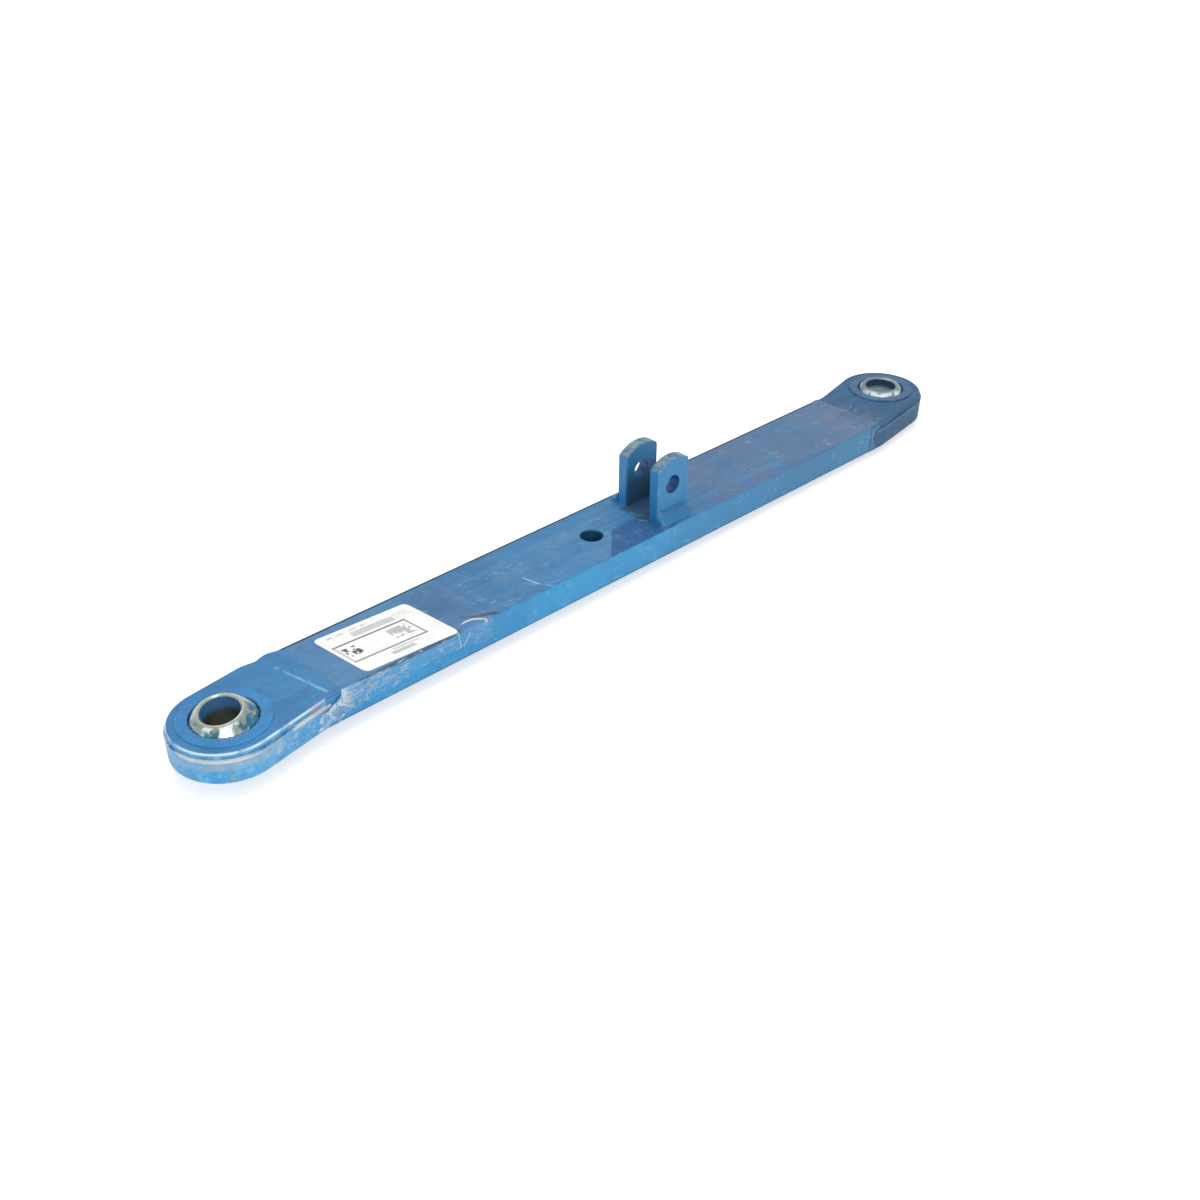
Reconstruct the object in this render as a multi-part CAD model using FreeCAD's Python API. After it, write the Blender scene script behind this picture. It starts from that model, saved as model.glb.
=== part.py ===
"""Lower link of a tractor's three-point hitch: a flat bar with a forged ball end welded on at each end.

Millimetres. +X runs along the bar from the near end to the far end, +Z is up, and the arm lies flat.
The model is drawn about the middle of the bar's section and lifted at the end, so that the lowest
point of the balls stands at z = 0.
"""
import FreeCAD, Part

import math
import os
from collections import namedtuple

from FreeCAD import Vector

# Whole arm
ball_distance = 764.0

# Flat bar
bar_width = 75.0
bar_thickness = 26.0
bar_edge_radius = 1.5

# Forged ends, measured from the ball centre
neck_length = 70.0
flare_blend_radius = 60.0
forging_edge_radius = 2.5

# The two forging dies: the lower one is a little larger and leaves a ledge at the parting line
parting_height = 8.0
die_mismatch = 1.2
die_draft = 2.0

# Swivel balls
ball_bore = 28.7
ball_bore_chamfer = 1.2
seat_clearance = 0.3

# Race rings pressed in over the balls, with the wall left outside the ball's widest part
race_ring_wall = 6.0
race_ring_rise = 1.5
race_ring_clearance = 0.1
race_ring_chamfer = 0.8

# The straight side of each neck runs out from the eye to a shoulder and slopes back to the weld
shoulder_run = 10.0
shoulder_blend_radius = 30.0

# What differs between the two ends. The eye is off the bar's middle line, towards -Y at the near end and
# towards +Y at the far end: it stands out from the bar by eye_swell on that side and stays inside the
# bar's line by eye_inset on the other. The side that swells out to the eye leaves the bar's line
# flare_setback before the weld. The other side has its shoulder shoulder_setback before the weld; it
# stands out from the bar by shoulder_margin there and by straight_margin at the weld.
End = namedtuple("End", "name side eye_swell eye_inset flare_setback shoulder_setback shoulder_margin "
                        "straight_margin ball_diameter ball_width seat_mouth_chamfer")
near_end = End(name="near", side=-1, eye_swell=10.7, eye_inset=3.7, flare_setback=6.5,
               shoulder_setback=27.5, shoulder_margin=1.8, straight_margin=0.2, ball_diameter=56.0,
               ball_width=45.0, seat_mouth_chamfer=0.8)
far_end = End(name="far", side=1, eye_swell=12.1, eye_inset=8.7, flare_setback=12.0,
              shoulder_setback=14.0, shoulder_margin=0.2, straight_margin=0.2, ball_diameter=50.0,
              ball_width=35.0, seat_mouth_chamfer=2.2)

# How the near ball lies in the photograph: its upper face leans outwards and to the front
near_ball_lean = 8.0
near_ball_side_lean = 2.5

# Butt welds between the bar and the forgings
weld_groove_width = 10.0
weld_root_face = 3.0
weld_crown = 0.5
weld_cap_width = 13.0
weld_cap_crown = 0.5
weld_cap_edge_chamfer = 0.7

# Drop-arm lugs
lug_station = 49.5
lug_gap = 26.5
lug_thickness = 10.5
lug_width = 36.5
lug_pin_height = 30.6
lug_pin_bore = 16.2
lug_pin_setback = 0.8
lug_height = 54.5
lug_top_radius = 30.0
lug_top_shift = 2.0
lug_corner_radius = 4.0
lug_edge_chamfer = 0.8

# Fillet weld along the outer foot of each lug, wrapped a little round the lug's corners
fillet_leg = 10.5
fillet_bulge = 1.2
fillet_wrap = 2.5

# Hole through the bar
bar_hole_station = -24.0
bar_hole_offset = -1.5
bar_hole_bore = 19.5

# Paper label and the clear tape over it, placed from the near end of the bar
label_setback = 72.4
label_offset = -3.6
label_length = 83.0
label_width = 59.5
label_turn = -4.0
label_corner_radius = 4.0
label_thickness = 0.2
tape_setback = 9.0
tape_length = 140.0
tape_top_reach = 33.0
tape_side_reach = 19.0
tape_thickness = 0.4

half_thickness = bar_thickness / 2
half_width = bar_width / 2
bar_end = ball_distance / 2 - neck_length
up = Vector(0, 0, 1)


def arc(start, middle, end):
    return Part.Arc(start, middle, end).toShape()


def on_circle(centre, radius, angle):
    return centre + Vector(radius * math.cos(angle), radius * math.sin(angle), 0)


def box(x0, x1, y0, y1, z0, z1):
    return Part.makeBox(x1 - x0, y1 - y0, z1 - z0, Vector(x0, y0, z0))


def biggest(shape):
    return max(shape.Solids, key=lambda solid: solid.Volume)


def edges_at(shape, axis, value):
    """Edges that lie wholly in the plane where the named axis has this value."""
    found = []
    for edge in shape.Edges:
        bounds = edge.BoundBox
        low = getattr(bounds, axis + "Min")
        high = getattr(bounds, axis + "Max")
        if abs(low - value) < 0.01 and abs(high - value) < 0.01:
            found.append(edge)
    return found


def bar_section_prism(x0, x1, grow=0.0):
    """Length of the bar's rounded section, grown outwards by the given amount."""
    prism = box(x0, x1, -half_width - grow, half_width + grow, -half_thickness - grow, half_thickness + grow)
    long_edges = [edge for edge in prism.Edges if abs(edge.Length - (x1 - x0)) < 0.01
                  and edge.BoundBox.XLength > 0.5 * (x1 - x0)]
    return prism.makeFillet(bar_edge_radius + grow, long_edges)


def groove_profile(side, crown):
    """Half of the double-V weld groove at x = 0, on the upper (1) or lower (-1) side of the bar."""
    root = Vector(0, 0, side * weld_root_face / 2)
    left = Vector(-weld_groove_width / 2, 0, side * half_thickness)
    right = Vector(weld_groove_width / 2, 0, side * half_thickness)
    top = Vector(0, 0, side * (half_thickness + crown))
    wire = Part.Wire([Part.makeLine(root, left), arc(left, top, right), Part.makeLine(right, root)])
    return Part.Face(wire)


def groove_prism(side, reach, crown):
    profile = groove_profile(side, crown)
    profile.translate(Vector(0, -reach, 0))
    return profile.extrude(Vector(0, 2 * reach, 0))


def make_main_bar():
    bar = bar_section_prism(-bar_end, bar_end)
    for x in (-bar_end, bar_end):
        for side in (-1, 1):
            groove = groove_prism(side, bar_width, weld_crown)
            groove.translate(Vector(x, 0, 0))
            bar = bar.cut(groove)
    hole = Part.makeCylinder(bar_hole_bore / 2, 2 * bar_thickness,
                             Vector(bar_hole_station, bar_hole_offset, -bar_thickness))
    return biggest(bar.cut(hole))


def ball_face_radius(end):
    return math.sqrt((end.ball_diameter / 2) ** 2 - (end.ball_width / 2) ** 2)


def ring_bore_radius(end):
    return end.ball_diameter / 2 + race_ring_wall


def seat_radius(end):
    return end.ball_diameter / 2 + seat_clearance


def seat_mouth_radius(end, height):
    return math.sqrt(seat_radius(end) ** 2 - height ** 2)


def eye_radius(end):
    return half_width + (end.eye_swell - end.eye_inset) / 2


def eye_offset(end):
    return (end.eye_swell + end.eye_inset) / 2


def shoulder_station(end):
    return neck_length - end.shoulder_setback


def touching_normal(end, point, side):
    """Outward direction of the line through a point that touches the eye on its +Y (1) or -Y (-1) side."""
    return math.atan2(point.y, point.x) + side * math.acos(eye_radius(end) / point.Length)


def inset_corner(corner, side_before, side_after, inset):
    """Corner moved inwards between the two sides that meet in it, given by their outward directions."""
    origin = Vector(0, 0, 0)
    before = on_circle(origin, 1, side_before)
    after = on_circle(origin, 1, side_after)
    return corner - (before + after) * (inset / (1 + before.dot(after)))


def neck_outline(end, inset, z):
    """Corners of the neck at height z, moved inwards by the inset.

    The ball centre is the origin and the bar lies towards +X. The -Y side is straight as far as the
    flare, then swells out to the eye. The +Y side has the shoulder.
    """
    radius = eye_radius(end) - inset
    past_weld = neck_length + bar_thickness
    flare = Vector(neck_length - end.flare_setback, eye_offset(end) - half_width, z)
    straight_side = eye_offset(end) + half_width
    shoulder = Vector(shoulder_station(end), straight_side + end.shoulder_margin, z)
    foot = Vector(shoulder.x + shoulder_run, straight_side + end.straight_margin, z)
    swell_side = touching_normal(end, Vector(flare.x, flare.y, 0), -1)
    eye_side = touching_normal(end, Vector(shoulder.x, shoulder.y, 0), 1)
    slope_side = math.atan2(foot.x - shoulder.x, shoulder.y - foot.y)
    back = math.pi / 2
    centre = Vector(0, 0, z)
    return [
        centre,
        on_circle(centre, radius, swell_side),
        inset_corner(flare, swell_side, -back, inset),
        Vector(past_weld, flare.y + inset, z),
        Vector(past_weld, foot.y - inset, z),
        inset_corner(foot, back, slope_side, inset),
        inset_corner(shoulder, slope_side, eye_side, inset),
        on_circle(centre, radius, eye_side),
    ]


def flat_sided_block(first, second):
    """Solid with flat sides between two outlines that have as many corners and parallel sides."""
    faces = [Part.Face(Part.makePolygon(corners + corners[:1])) for corners in (first, second)]
    for index, corner in enumerate(first):
        following = (index + 1) % len(first)
        side = [corner, first[following], second[following], second[index], corner]
        faces.append(Part.Face(Part.makePolygon(side)))
    block = Part.makeSolid(Part.makeShell(faces))
    if block.Volume < 0:
        block.reverse()
    return block


def die_half(end, grow, z_face):
    """Half of the forging, drafted from the parting line to its flat face, with a rounded edge."""
    draft = math.tan(math.radians(die_draft)) * abs(z_face - parting_height)
    neck = flat_sided_block(neck_outline(end, -grow, parting_height),
                            neck_outline(end, draft - grow, z_face))
    direction = up if z_face > parting_height else -up
    radius = eye_radius(end) + grow
    eye = Part.makeCone(radius, radius - draft, abs(z_face - parting_height),
                        Vector(0, 0, parting_height), direction)
    half = eye.fuse(neck).removeSplitter()
    corner_edges = [edge for edge in half.Edges
                    if edge.BoundBox.ZLength > 0.9 * abs(z_face - parting_height)
                    and edge.BoundBox.XMin > eye_radius(end) and edge.BoundBox.XMax < neck_length]
    half = half.makeFillet(flare_blend_radius, [edge for edge in corner_edges if edge.BoundBox.YMax < 0])
    corner_edges = [edge for edge in half.Edges
                    if edge.BoundBox.ZLength > 0.9 * abs(z_face - parting_height)
                    and edge.BoundBox.XMin > shoulder_station(end) - shoulder_run / 2
                    and edge.BoundBox.XMax < neck_length and edge.BoundBox.YMin > 0]
    half = half.makeFillet(shoulder_blend_radius, corner_edges)
    return half.makeFillet(forging_edge_radius, edges_at(half, "Z", z_face))


def ball_seat_cut(end):
    """Room for the ball: a sphere with a chamfered mouth below, and a bore for the race ring above."""
    sphere = Part.makeSphere(seat_radius(end), Vector(0, 0, 0))
    ring_bore = Part.makeCylinder(ring_bore_radius(end), bar_thickness, Vector(0, 0, 0))
    mouth = seat_mouth_radius(end, half_thickness)
    chamfer = end.seat_mouth_chamfer
    cone = Part.makeCone(mouth + chamfer, mouth - chamfer, 2 * chamfer, Vector(0, 0, -half_thickness))
    return sphere.fuse([ring_bore, cone])


def make_end_forging(end):
    upper = die_half(end, 0.0, half_thickness)
    lower = die_half(end, die_mismatch, -half_thickness)
    forging = upper.fuse(lower).removeSplitter()
    forging = forging.cut(ball_seat_cut(end))
    past_weld = box(neck_length, neck_length + 2 * bar_thickness, -bar_width, bar_width,
                    -bar_thickness, bar_thickness)
    forging = forging.cut(past_weld)
    for side in (-1, 1):
        groove = groove_prism(side, bar_width, weld_crown)
        groove.translate(Vector(neck_length, 0, 0))
        forging = forging.cut(groove)
    return biggest(forging)


def make_race_ring(end):
    """Ring with the upper half of the spherical seat; it stands on the shoulder at mid-thickness."""
    radius = ring_bore_radius(end) - race_ring_clearance
    height = half_thickness + race_ring_rise
    ring = Part.makeCylinder(radius, height)
    ring = ring.makeChamfer(race_ring_chamfer, edges_at(ring, "Z", height))
    ring = ring.cut(Part.makeSphere(seat_radius(end), Vector(0, 0, 0)))
    mouth = seat_mouth_radius(end, height)
    chamfer = end.seat_mouth_chamfer
    cone = Part.makeCone(mouth - chamfer, mouth + chamfer, 2 * chamfer, Vector(0, 0, height - 2 * chamfer))
    return biggest(ring.cut(cone))


def make_ball(end):
    """Ball cut flat on both sides and bored through, drawn as half a section and turned about Z."""
    bore = ball_bore / 2
    lip = bore + ball_bore_chamfer
    face = end.ball_width / 2
    rim = ball_face_radius(end)
    low = [
        Vector(bore, 0, -face + ball_bore_chamfer),
        Vector(lip, 0, -face),
        Vector(rim, 0, -face),
    ]
    high = [
        Vector(rim, 0, face),
        Vector(lip, 0, face),
        Vector(bore, 0, face - ball_bore_chamfer),
    ]
    edges = [Part.makeLine(low[0], low[1]), Part.makeLine(low[1], low[2])]
    edges.append(arc(low[2], Vector(end.ball_diameter / 2, 0, 0), high[0]))
    edges += [Part.makeLine(high[0], high[1]), Part.makeLine(high[1], high[2])]
    edges.append(Part.makeLine(high[2], low[0]))
    return Part.Face(Part.Wire(edges)).revolve(Vector(0, 0, 0), up, 360)


def make_groove_bead(side):
    """Weld metal in the upper or lower groove, at x = 0; the edge beads close its two ends."""
    return groove_prism(side, half_width - bar_edge_radius, weld_crown)


def make_edge_bead(end, side):
    """Weld metal up the narrow side of the joint at x = 0, on the +Y (1) or -Y (-1) edge.

    It slopes from the bar's side out to the lower die's side, which stands a little further out.
    """
    half_cap = weld_cap_width / 2
    step = die_mismatch + (end.straight_margin if side == -end.side else 0)
    inner = side * (half_width - bar_edge_radius)
    on_forging = Vector(end.side * half_cap, side * (half_width + step), -half_thickness)
    on_bar = Vector(-end.side * half_cap, side * half_width, -half_thickness)
    crown = Vector(0, side * (half_width + step / 2 + weld_cap_crown), -half_thickness)
    inner_forging = Vector(on_forging.x, inner, -half_thickness)
    inner_bar = Vector(on_bar.x, inner, -half_thickness)
    wire = Part.Wire([arc(on_forging, crown, on_bar), Part.makeLine(on_bar, inner_bar),
                      Part.makeLine(inner_bar, inner_forging), Part.makeLine(inner_forging, on_forging)])
    bead = Part.Face(wire).extrude(up * bar_thickness)
    ends = [edge for edge in edges_at(bead, "Z", -half_thickness) + edges_at(bead, "Z", half_thickness)
            if edge.Curve.TypeId == "Part::GeomCircle"]
    return bead.makeChamfer(weld_cap_edge_chamfer, ends)


def make_lug():
    """Upright plate centred on its station, foot at z = 0, with an arched top a little off the middle."""
    half = lug_width / 2
    pin = Vector(-lug_pin_setback, 0, lug_pin_height)
    arch_z = lug_height - lug_top_radius
    rise_left = math.sqrt(lug_top_radius ** 2 - (half + lug_top_shift) ** 2)
    rise_right = math.sqrt(lug_top_radius ** 2 - (half - lug_top_shift) ** 2)
    foot_left = Vector(-half, 0, 0)
    foot_right = Vector(half, 0, 0)
    left = Vector(-half, 0, arch_z + rise_left)
    right = Vector(half, 0, arch_z + rise_right)
    top = Vector(lug_top_shift, 0, lug_height)
    wire = Part.Wire([Part.makeLine(foot_left, foot_right), Part.makeLine(foot_right, right),
                      arc(right, top, left), Part.makeLine(left, foot_left)])
    lug = Part.Face(wire).extrude(Vector(0, lug_thickness, 0))
    lug.translate(Vector(0, -lug_thickness / 2, 0))
    corners = [edge for edge in lug.Edges if edge.BoundBox.YLength > 0.9 * lug_thickness
               and edge.BoundBox.ZMin > lug_pin_height]
    lug = lug.makeFillet(lug_corner_radius, corners)
    rim = [edge for side in (-1, 1) for edge in edges_at(lug, "Y", side * lug_thickness / 2)
           if edge.BoundBox.ZMax > 0.5 * lug_pin_height]
    lug = lug.makeChamfer(lug_edge_chamfer, rim)
    bore = Part.makeCylinder(lug_pin_bore / 2, 2 * lug_thickness, pin - Vector(0, lug_thickness, 0),
                             Vector(0, 1, 0))
    return biggest(lug.cut(bore))


def rounded_rectangle(half_x, half_y, corner, z):
    points = []
    for sx, sy, start in ((1, 1, 0), (-1, 1, 90), (-1, -1, 180), (1, -1, 270)):
        centre = Vector(sx * (half_x - corner), sy * (half_y - corner), z)
        points.append([on_circle(centre, corner, math.radians(start + step)) for step in (0, 45, 90)])
    edges = []
    for index, turn in enumerate(points):
        following = points[(index + 1) % 4]
        edges.append(arc(turn[0], turn[1], turn[2]))
        edges.append(Part.makeLine(turn[2], following[0]))
    return Part.Wire(edges)


def make_lug_fillet(lug, outward):
    """Weld bead along the outer foot of a lug, on its +Y (1) or -Y (-1) side."""
    half_x = lug_width / 2
    half_y = lug_thickness / 2
    middle = fillet_leg / 2 + fillet_bulge
    sections = []
    for reach, z in ((fillet_leg, 0.0), (middle, fillet_leg - middle + 2 * fillet_bulge), (0.1, fillet_leg)):
        sections.append(rounded_rectangle(half_x + reach, half_y + reach, reach, z))
    skirt = Part.makeLoft(sections, True, True)
    inner, outer = sorted((outward * (half_y - fillet_wrap), outward * (half_y + 2 * fillet_leg)))
    reach_x = half_x + fillet_wrap
    skirt = skirt.common(box(-reach_x, reach_x, inner, outer, -1, 2 * fillet_leg))
    return biggest(skirt.cut(lug))


def make_paper_label():
    outline = rounded_rectangle(label_length / 2, label_width / 2, label_corner_radius, 0)
    label = Part.Face(outline).extrude(up * label_thickness)
    label.rotate(Vector(0, 0, 0), up, label_turn)
    label.translate(Vector(label_setback - bar_end, label_offset, half_thickness))
    return label


def make_label_tape(label):
    """Strip over the label that folds down over the front edge of the bar."""
    tape_start = tape_setback - bar_end
    tape_end = tape_start + tape_length
    strip = bar_section_prism(tape_start, tape_end, tape_thickness)
    strip = strip.cut(bar_section_prism(tape_start - 1, tape_end + 1))
    covered = box(tape_start, tape_end, -bar_width, tape_top_reach, half_thickness - tape_side_reach,
                  bar_thickness)
    strip = strip.common(covered)
    return biggest(strip.cut(label))


def ball_centre(end):
    return Vector(end.side * ball_distance / 2, end.side * eye_offset(end), 0)


def at_end(shape, end):
    """Copy of a shape drawn about a ball centre with the bar towards +X, placed at its end of the arm."""
    placed = shape.copy()
    if end.side > 0:
        placed.rotate(Vector(0, 0, 0), up, 180)
    placed.translate(ball_centre(end))
    return placed


def moved(shape, x, y, z):
    placed = shape.copy()
    placed.translate(Vector(x, y, z))
    return placed


parts = {}
parts["main_bar"] = make_main_bar()

for end in (near_end, far_end):
    parts[end.name + "_end_forging"] = at_end(make_end_forging(end), end)
    parts[end.name + "_race_ring"] = at_end(make_race_ring(end), end)
    parts[end.name + "_ball"] = at_end(make_ball(end), end)

near_ball_axis = Vector(-math.sin(math.radians(near_ball_lean)),
                        -math.sin(math.radians(near_ball_side_lean)), 1)
near_ball_tilt = near_ball_axis.getAngle(up)
parts["near_ball"].rotate(ball_centre(near_end), up.cross(near_ball_axis), math.degrees(near_ball_tilt))

for end in (near_end, far_end):
    joint_x = end.side * bar_end
    neighbours = [parts["main_bar"], parts[end.name + "_end_forging"]]
    for side, place in ((1, "top"), (-1, "bottom")):
        bead = moved(make_groove_bead(side), joint_x, 0, 0)
        parts[end.name + "_weld_" + place] = biggest(bead.cut(neighbours))
    for side, place in ((-1, "front"), (1, "back")):
        bead = moved(make_edge_bead(end, side), joint_x, 0, 0)
        beads = [parts[end.name + "_weld_top"], parts[end.name + "_weld_bottom"]]
        parts[end.name + "_weld_" + place] = biggest(bead.cut(neighbours + beads))

lug = make_lug()
lug_y = (lug_gap + lug_thickness) / 2
for outward, name in ((-1, "front"), (1, "rear")):
    y = outward * lug_y
    parts[name + "_lug"] = moved(lug, lug_station, y, half_thickness)
    parts[name + "_lug_weld"] = moved(make_lug_fillet(lug, outward), lug_station, y, half_thickness)

parts["paper_label"] = make_paper_label()
parts["label_tape"] = make_label_tape(parts["paper_label"])

rest_height = (near_end.ball_width / 2 * math.cos(near_ball_tilt)
               + ball_face_radius(near_end) * math.sin(near_ball_tilt))

os.makedirs("parts", exist_ok=True)
for name, shape in parts.items():
    shape.translate(Vector(0, 0, rest_height))
    shape.exportStep("parts/" + name + ".step")
    print(name, shape.ShapeType, len(shape.Solids), shape.isValid(), round(shape.Volume, 1))
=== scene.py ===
import math

import bmesh
import bpy
from mathutils import Matrix, Vector, noise


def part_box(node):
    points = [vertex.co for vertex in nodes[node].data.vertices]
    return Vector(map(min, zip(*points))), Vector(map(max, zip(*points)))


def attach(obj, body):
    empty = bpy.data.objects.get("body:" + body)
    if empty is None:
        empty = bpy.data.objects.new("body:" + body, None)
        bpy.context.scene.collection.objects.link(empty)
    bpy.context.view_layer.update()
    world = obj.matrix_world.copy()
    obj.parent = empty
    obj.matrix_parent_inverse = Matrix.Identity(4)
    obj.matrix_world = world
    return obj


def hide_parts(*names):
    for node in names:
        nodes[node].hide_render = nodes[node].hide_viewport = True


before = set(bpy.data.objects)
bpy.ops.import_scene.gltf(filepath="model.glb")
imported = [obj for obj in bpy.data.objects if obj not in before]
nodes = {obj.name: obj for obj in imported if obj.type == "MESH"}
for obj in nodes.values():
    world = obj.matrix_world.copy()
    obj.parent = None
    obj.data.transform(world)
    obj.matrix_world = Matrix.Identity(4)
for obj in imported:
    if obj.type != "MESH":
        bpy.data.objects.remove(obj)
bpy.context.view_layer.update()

MM = 0.001
bar_low, bar_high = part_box("main_bar")
rest_height = (bar_low.z + bar_high.z) / 2

# Sizes shared with the CAD source, in millimetres, about the middle of the bar's section
half_width = 37.5
half_thickness = 13.0
bar_end = 312.0
bar_edge_radius = 1.5
near_centre = (-382.0, -7.2)
far_centre = (382.0, 10.4)
near_ball_lean = (8.0, 2.5)
near_ball_width = 45.0
near_face_radius = 16.67
far_ball_width = 35.0
far_face_radius = 17.85
ball_bore_radius = 14.35
parting_height = 8.0
die_mismatch = 1.2
lug_station = 49.5
lug_half_width = 18.25
fillet_short = 4.0
lug_outer_face = 23.75
lug_middle = 18.5
fillet_leg = 10.5
label_centre = (-239.1, -4.1)
label_half = (41.5, 29.75)
label_along = (0.9976, -0.0711)
label_across = (-0.1032, 0.9983)
label_corner = 4.0
bar_hole = (-24.0, -1.5)
lug_pin = (48.7, 43.6)
near_seam = ((-322.0, 19.0), (-312.3, -30.1))
tape_span = (-303.0, -163.0)
tape_back = 33.0

# Camera, worked out from the outline of the arm in the photograph (millimetres, degrees, 1200 px frame)
camera_azimuth = -44.237
camera_elevation = 32.96
camera_roll = 0.609
camera_distance = 1232.9
camera_target = (-73.07, -62.78)
focal_px = 1552.8
frame_px = 1200.0
sensor_mm = 36.0


def at(x, y, z):
    """Point given in millimetres about the middle of the bar's section."""
    return Vector((x * MM, y * MM, rest_height + z * MM))


def colour(red, green, blue):
    """Linear colour of an sRGB one written as 0 to 255."""
    linear = []
    for value in (red, green, blue):
        share = value / 255
        linear.append(share / 12.92 if share <= 0.04045 else ((share + 0.055) / 1.055) ** 2.4)
    return (*linear, 1.0)


def smooth(value, low, high):
    share = min(1.0, max(0.0, (value - low) / (high - low)))
    return share * share * (3 - 2 * share)


# Stage: camera, lights, world and floor

def make_camera():
    azimuth = math.radians(camera_azimuth)
    elevation = math.radians(camera_elevation)
    back = Vector((math.sin(azimuth) * math.cos(elevation), -math.cos(azimuth) * math.cos(elevation),
                   math.sin(elevation)))
    right = Vector((math.cos(azimuth), math.sin(azimuth), 0))
    above = back.cross(right)
    roll = math.radians(camera_roll)
    turned_right = math.cos(roll) * right + math.sin(roll) * above
    turned_up = -math.sin(roll) * right + math.cos(roll) * above
    data = bpy.data.cameras.new("camera")
    data.sensor_width = sensor_mm
    data.lens = focal_px * sensor_mm / frame_px
    data.clip_start = 0.01
    data.clip_end = 200
    camera = bpy.data.objects.new("camera", data)
    bpy.context.scene.collection.objects.link(camera)
    axes = Matrix((turned_right, turned_up, back)).transposed()
    place = at(camera_target[0], camera_target[1], 0) + back * camera_distance * MM
    camera.matrix_world = Matrix.Translation(place) @ axes.to_4x4()
    bpy.context.scene.camera = camera


def make_light(name, place, size, power):
    data = bpy.data.lights.new(name, "AREA")
    data.shape = "DISK"
    data.size = size
    data.energy = power
    light = bpy.data.objects.new(name, data)
    bpy.context.scene.collection.objects.link(light)
    light.location = Vector(place)
    light.rotation_mode = "QUATERNION"
    light.rotation_quaternion = (-Vector(place)).to_track_quat("-Z", "Y")


class Graph:
    """A material's node tree, built one node at a time. Lengths inside it are in metres."""

    def __init__(self, name, tree=None):
        if tree is None:
            self.material = bpy.data.materials.new(name)
            self.material.use_nodes = True
            tree = self.material.node_tree
        self.tree = tree
        self.tree.nodes.clear()

    def feed(self, socket, value):
        if isinstance(value, bpy.types.NodeSocket):
            self.tree.links.new(value, socket)
        else:
            socket.default_value = value

    def add(self, kind, inputs=None, **settings):
        node = self.tree.nodes.new("ShaderNode" + kind)
        for key, value in settings.items():
            setattr(node, key, value)
        for key, value in (inputs or {}).items():
            self.feed(node.inputs[key], value)
        return node

    def place(self):
        """Place in the row frame at rest: the objects sit at its origin."""
        return self.add("TexCoord").outputs["Object"]

    def local(self, centre, turn=(0, 0, 0), stretch=(1, 1, 1)):
        """Millimetres about a centre, along axes turned by the given angles and stretched."""
        inputs = {"Vector": self.place(), "Location": centre, "Rotation": turn,
                  "Scale": tuple(MM * share for share in stretch)}
        return self.add("Mapping", inputs, vector_type="TEXTURE").outputs[0]

    def dot(self, vector, direction):
        return self.add("VectorMath", {0: vector, 1: direction}, operation="DOT_PRODUCT").outputs["Value"]

    def distance(self, vector):
        return self.add("VectorMath", {0: vector}, operation="LENGTH").outputs["Value"]

    def split(self, vector):
        return self.add("SeparateXYZ", {0: vector}).outputs

    def noise(self, size, detail=3.0, roughness=0.55, vector=None, distortion=0.0):
        """Cloudy pattern whose patches are about this many millimetres across."""
        vector = vector or self.local((0, 0, 0))
        inputs = {"Vector": vector, "Scale": 1 / size, "Detail": detail, "Roughness": roughness,
                  "Distortion": distortion}
        return self.add("TexNoise", inputs).outputs["Fac"]

    def ramp(self, value, low, high, to_low=0.0, to_high=1.0):
        inputs = {"Value": value, "From Min": low, "From Max": high, "To Min": to_low, "To Max": to_high}
        return self.add("MapRange", inputs, interpolation_type="SMOOTHSTEP").outputs["Result"]

    def math(self, operation, first, second=0.0):
        return self.add("Math", {0: first, 1: second}, operation=operation).outputs[0]

    def times(self, *values):
        result = values[0]
        for value in values[1:]:
            result = self.math("MULTIPLY", result, value)
        return result

    def mix(self, factor, first, second):
        node = self.add("Mix", data_type="RGBA", clamp_factor=True)
        self.feed(node.inputs[0], factor)
        self.feed(node.inputs[6], first)
        self.feed(node.inputs[7], second)
        return node.outputs[2]

    def inside(self, value, low, high, soft):
        """1 between low and high, fading to 0 over the soft distance outside them."""
        centre = (low + high) / 2
        half = (high - low) / 2
        away = self.math("ABSOLUTE", self.math("SUBTRACT", value, centre))
        return self.ramp(away, half + soft, half)

    def finish(self, **inputs):
        named = {key.replace("_", " "): value for key, value in inputs.items()}
        surface = self.add("BsdfPrincipled", named)
        self.add("OutputMaterial", {"Surface": surface.outputs[0]})
        return self.material


def make_world():
    world = bpy.data.worlds.new("studio")
    bpy.context.scene.world = world
    world.use_nodes = True
    g = Graph("studio", world.node_tree)
    ambient = g.add("Background", {"Color": (1, 1, 1, 1), "Strength": world_strength})
    white = g.add("Background", {"Color": (1, 1, 1, 1), "Strength": 1.0})
    shown = g.add("LightPath").outputs["Is Camera Ray"]
    mixed = g.add("MixShader", {0: shown, 1: ambient.outputs[0], 2: white.outputs[0]})
    g.add("OutputWorld", {"Surface": mixed.outputs[0]})


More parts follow.
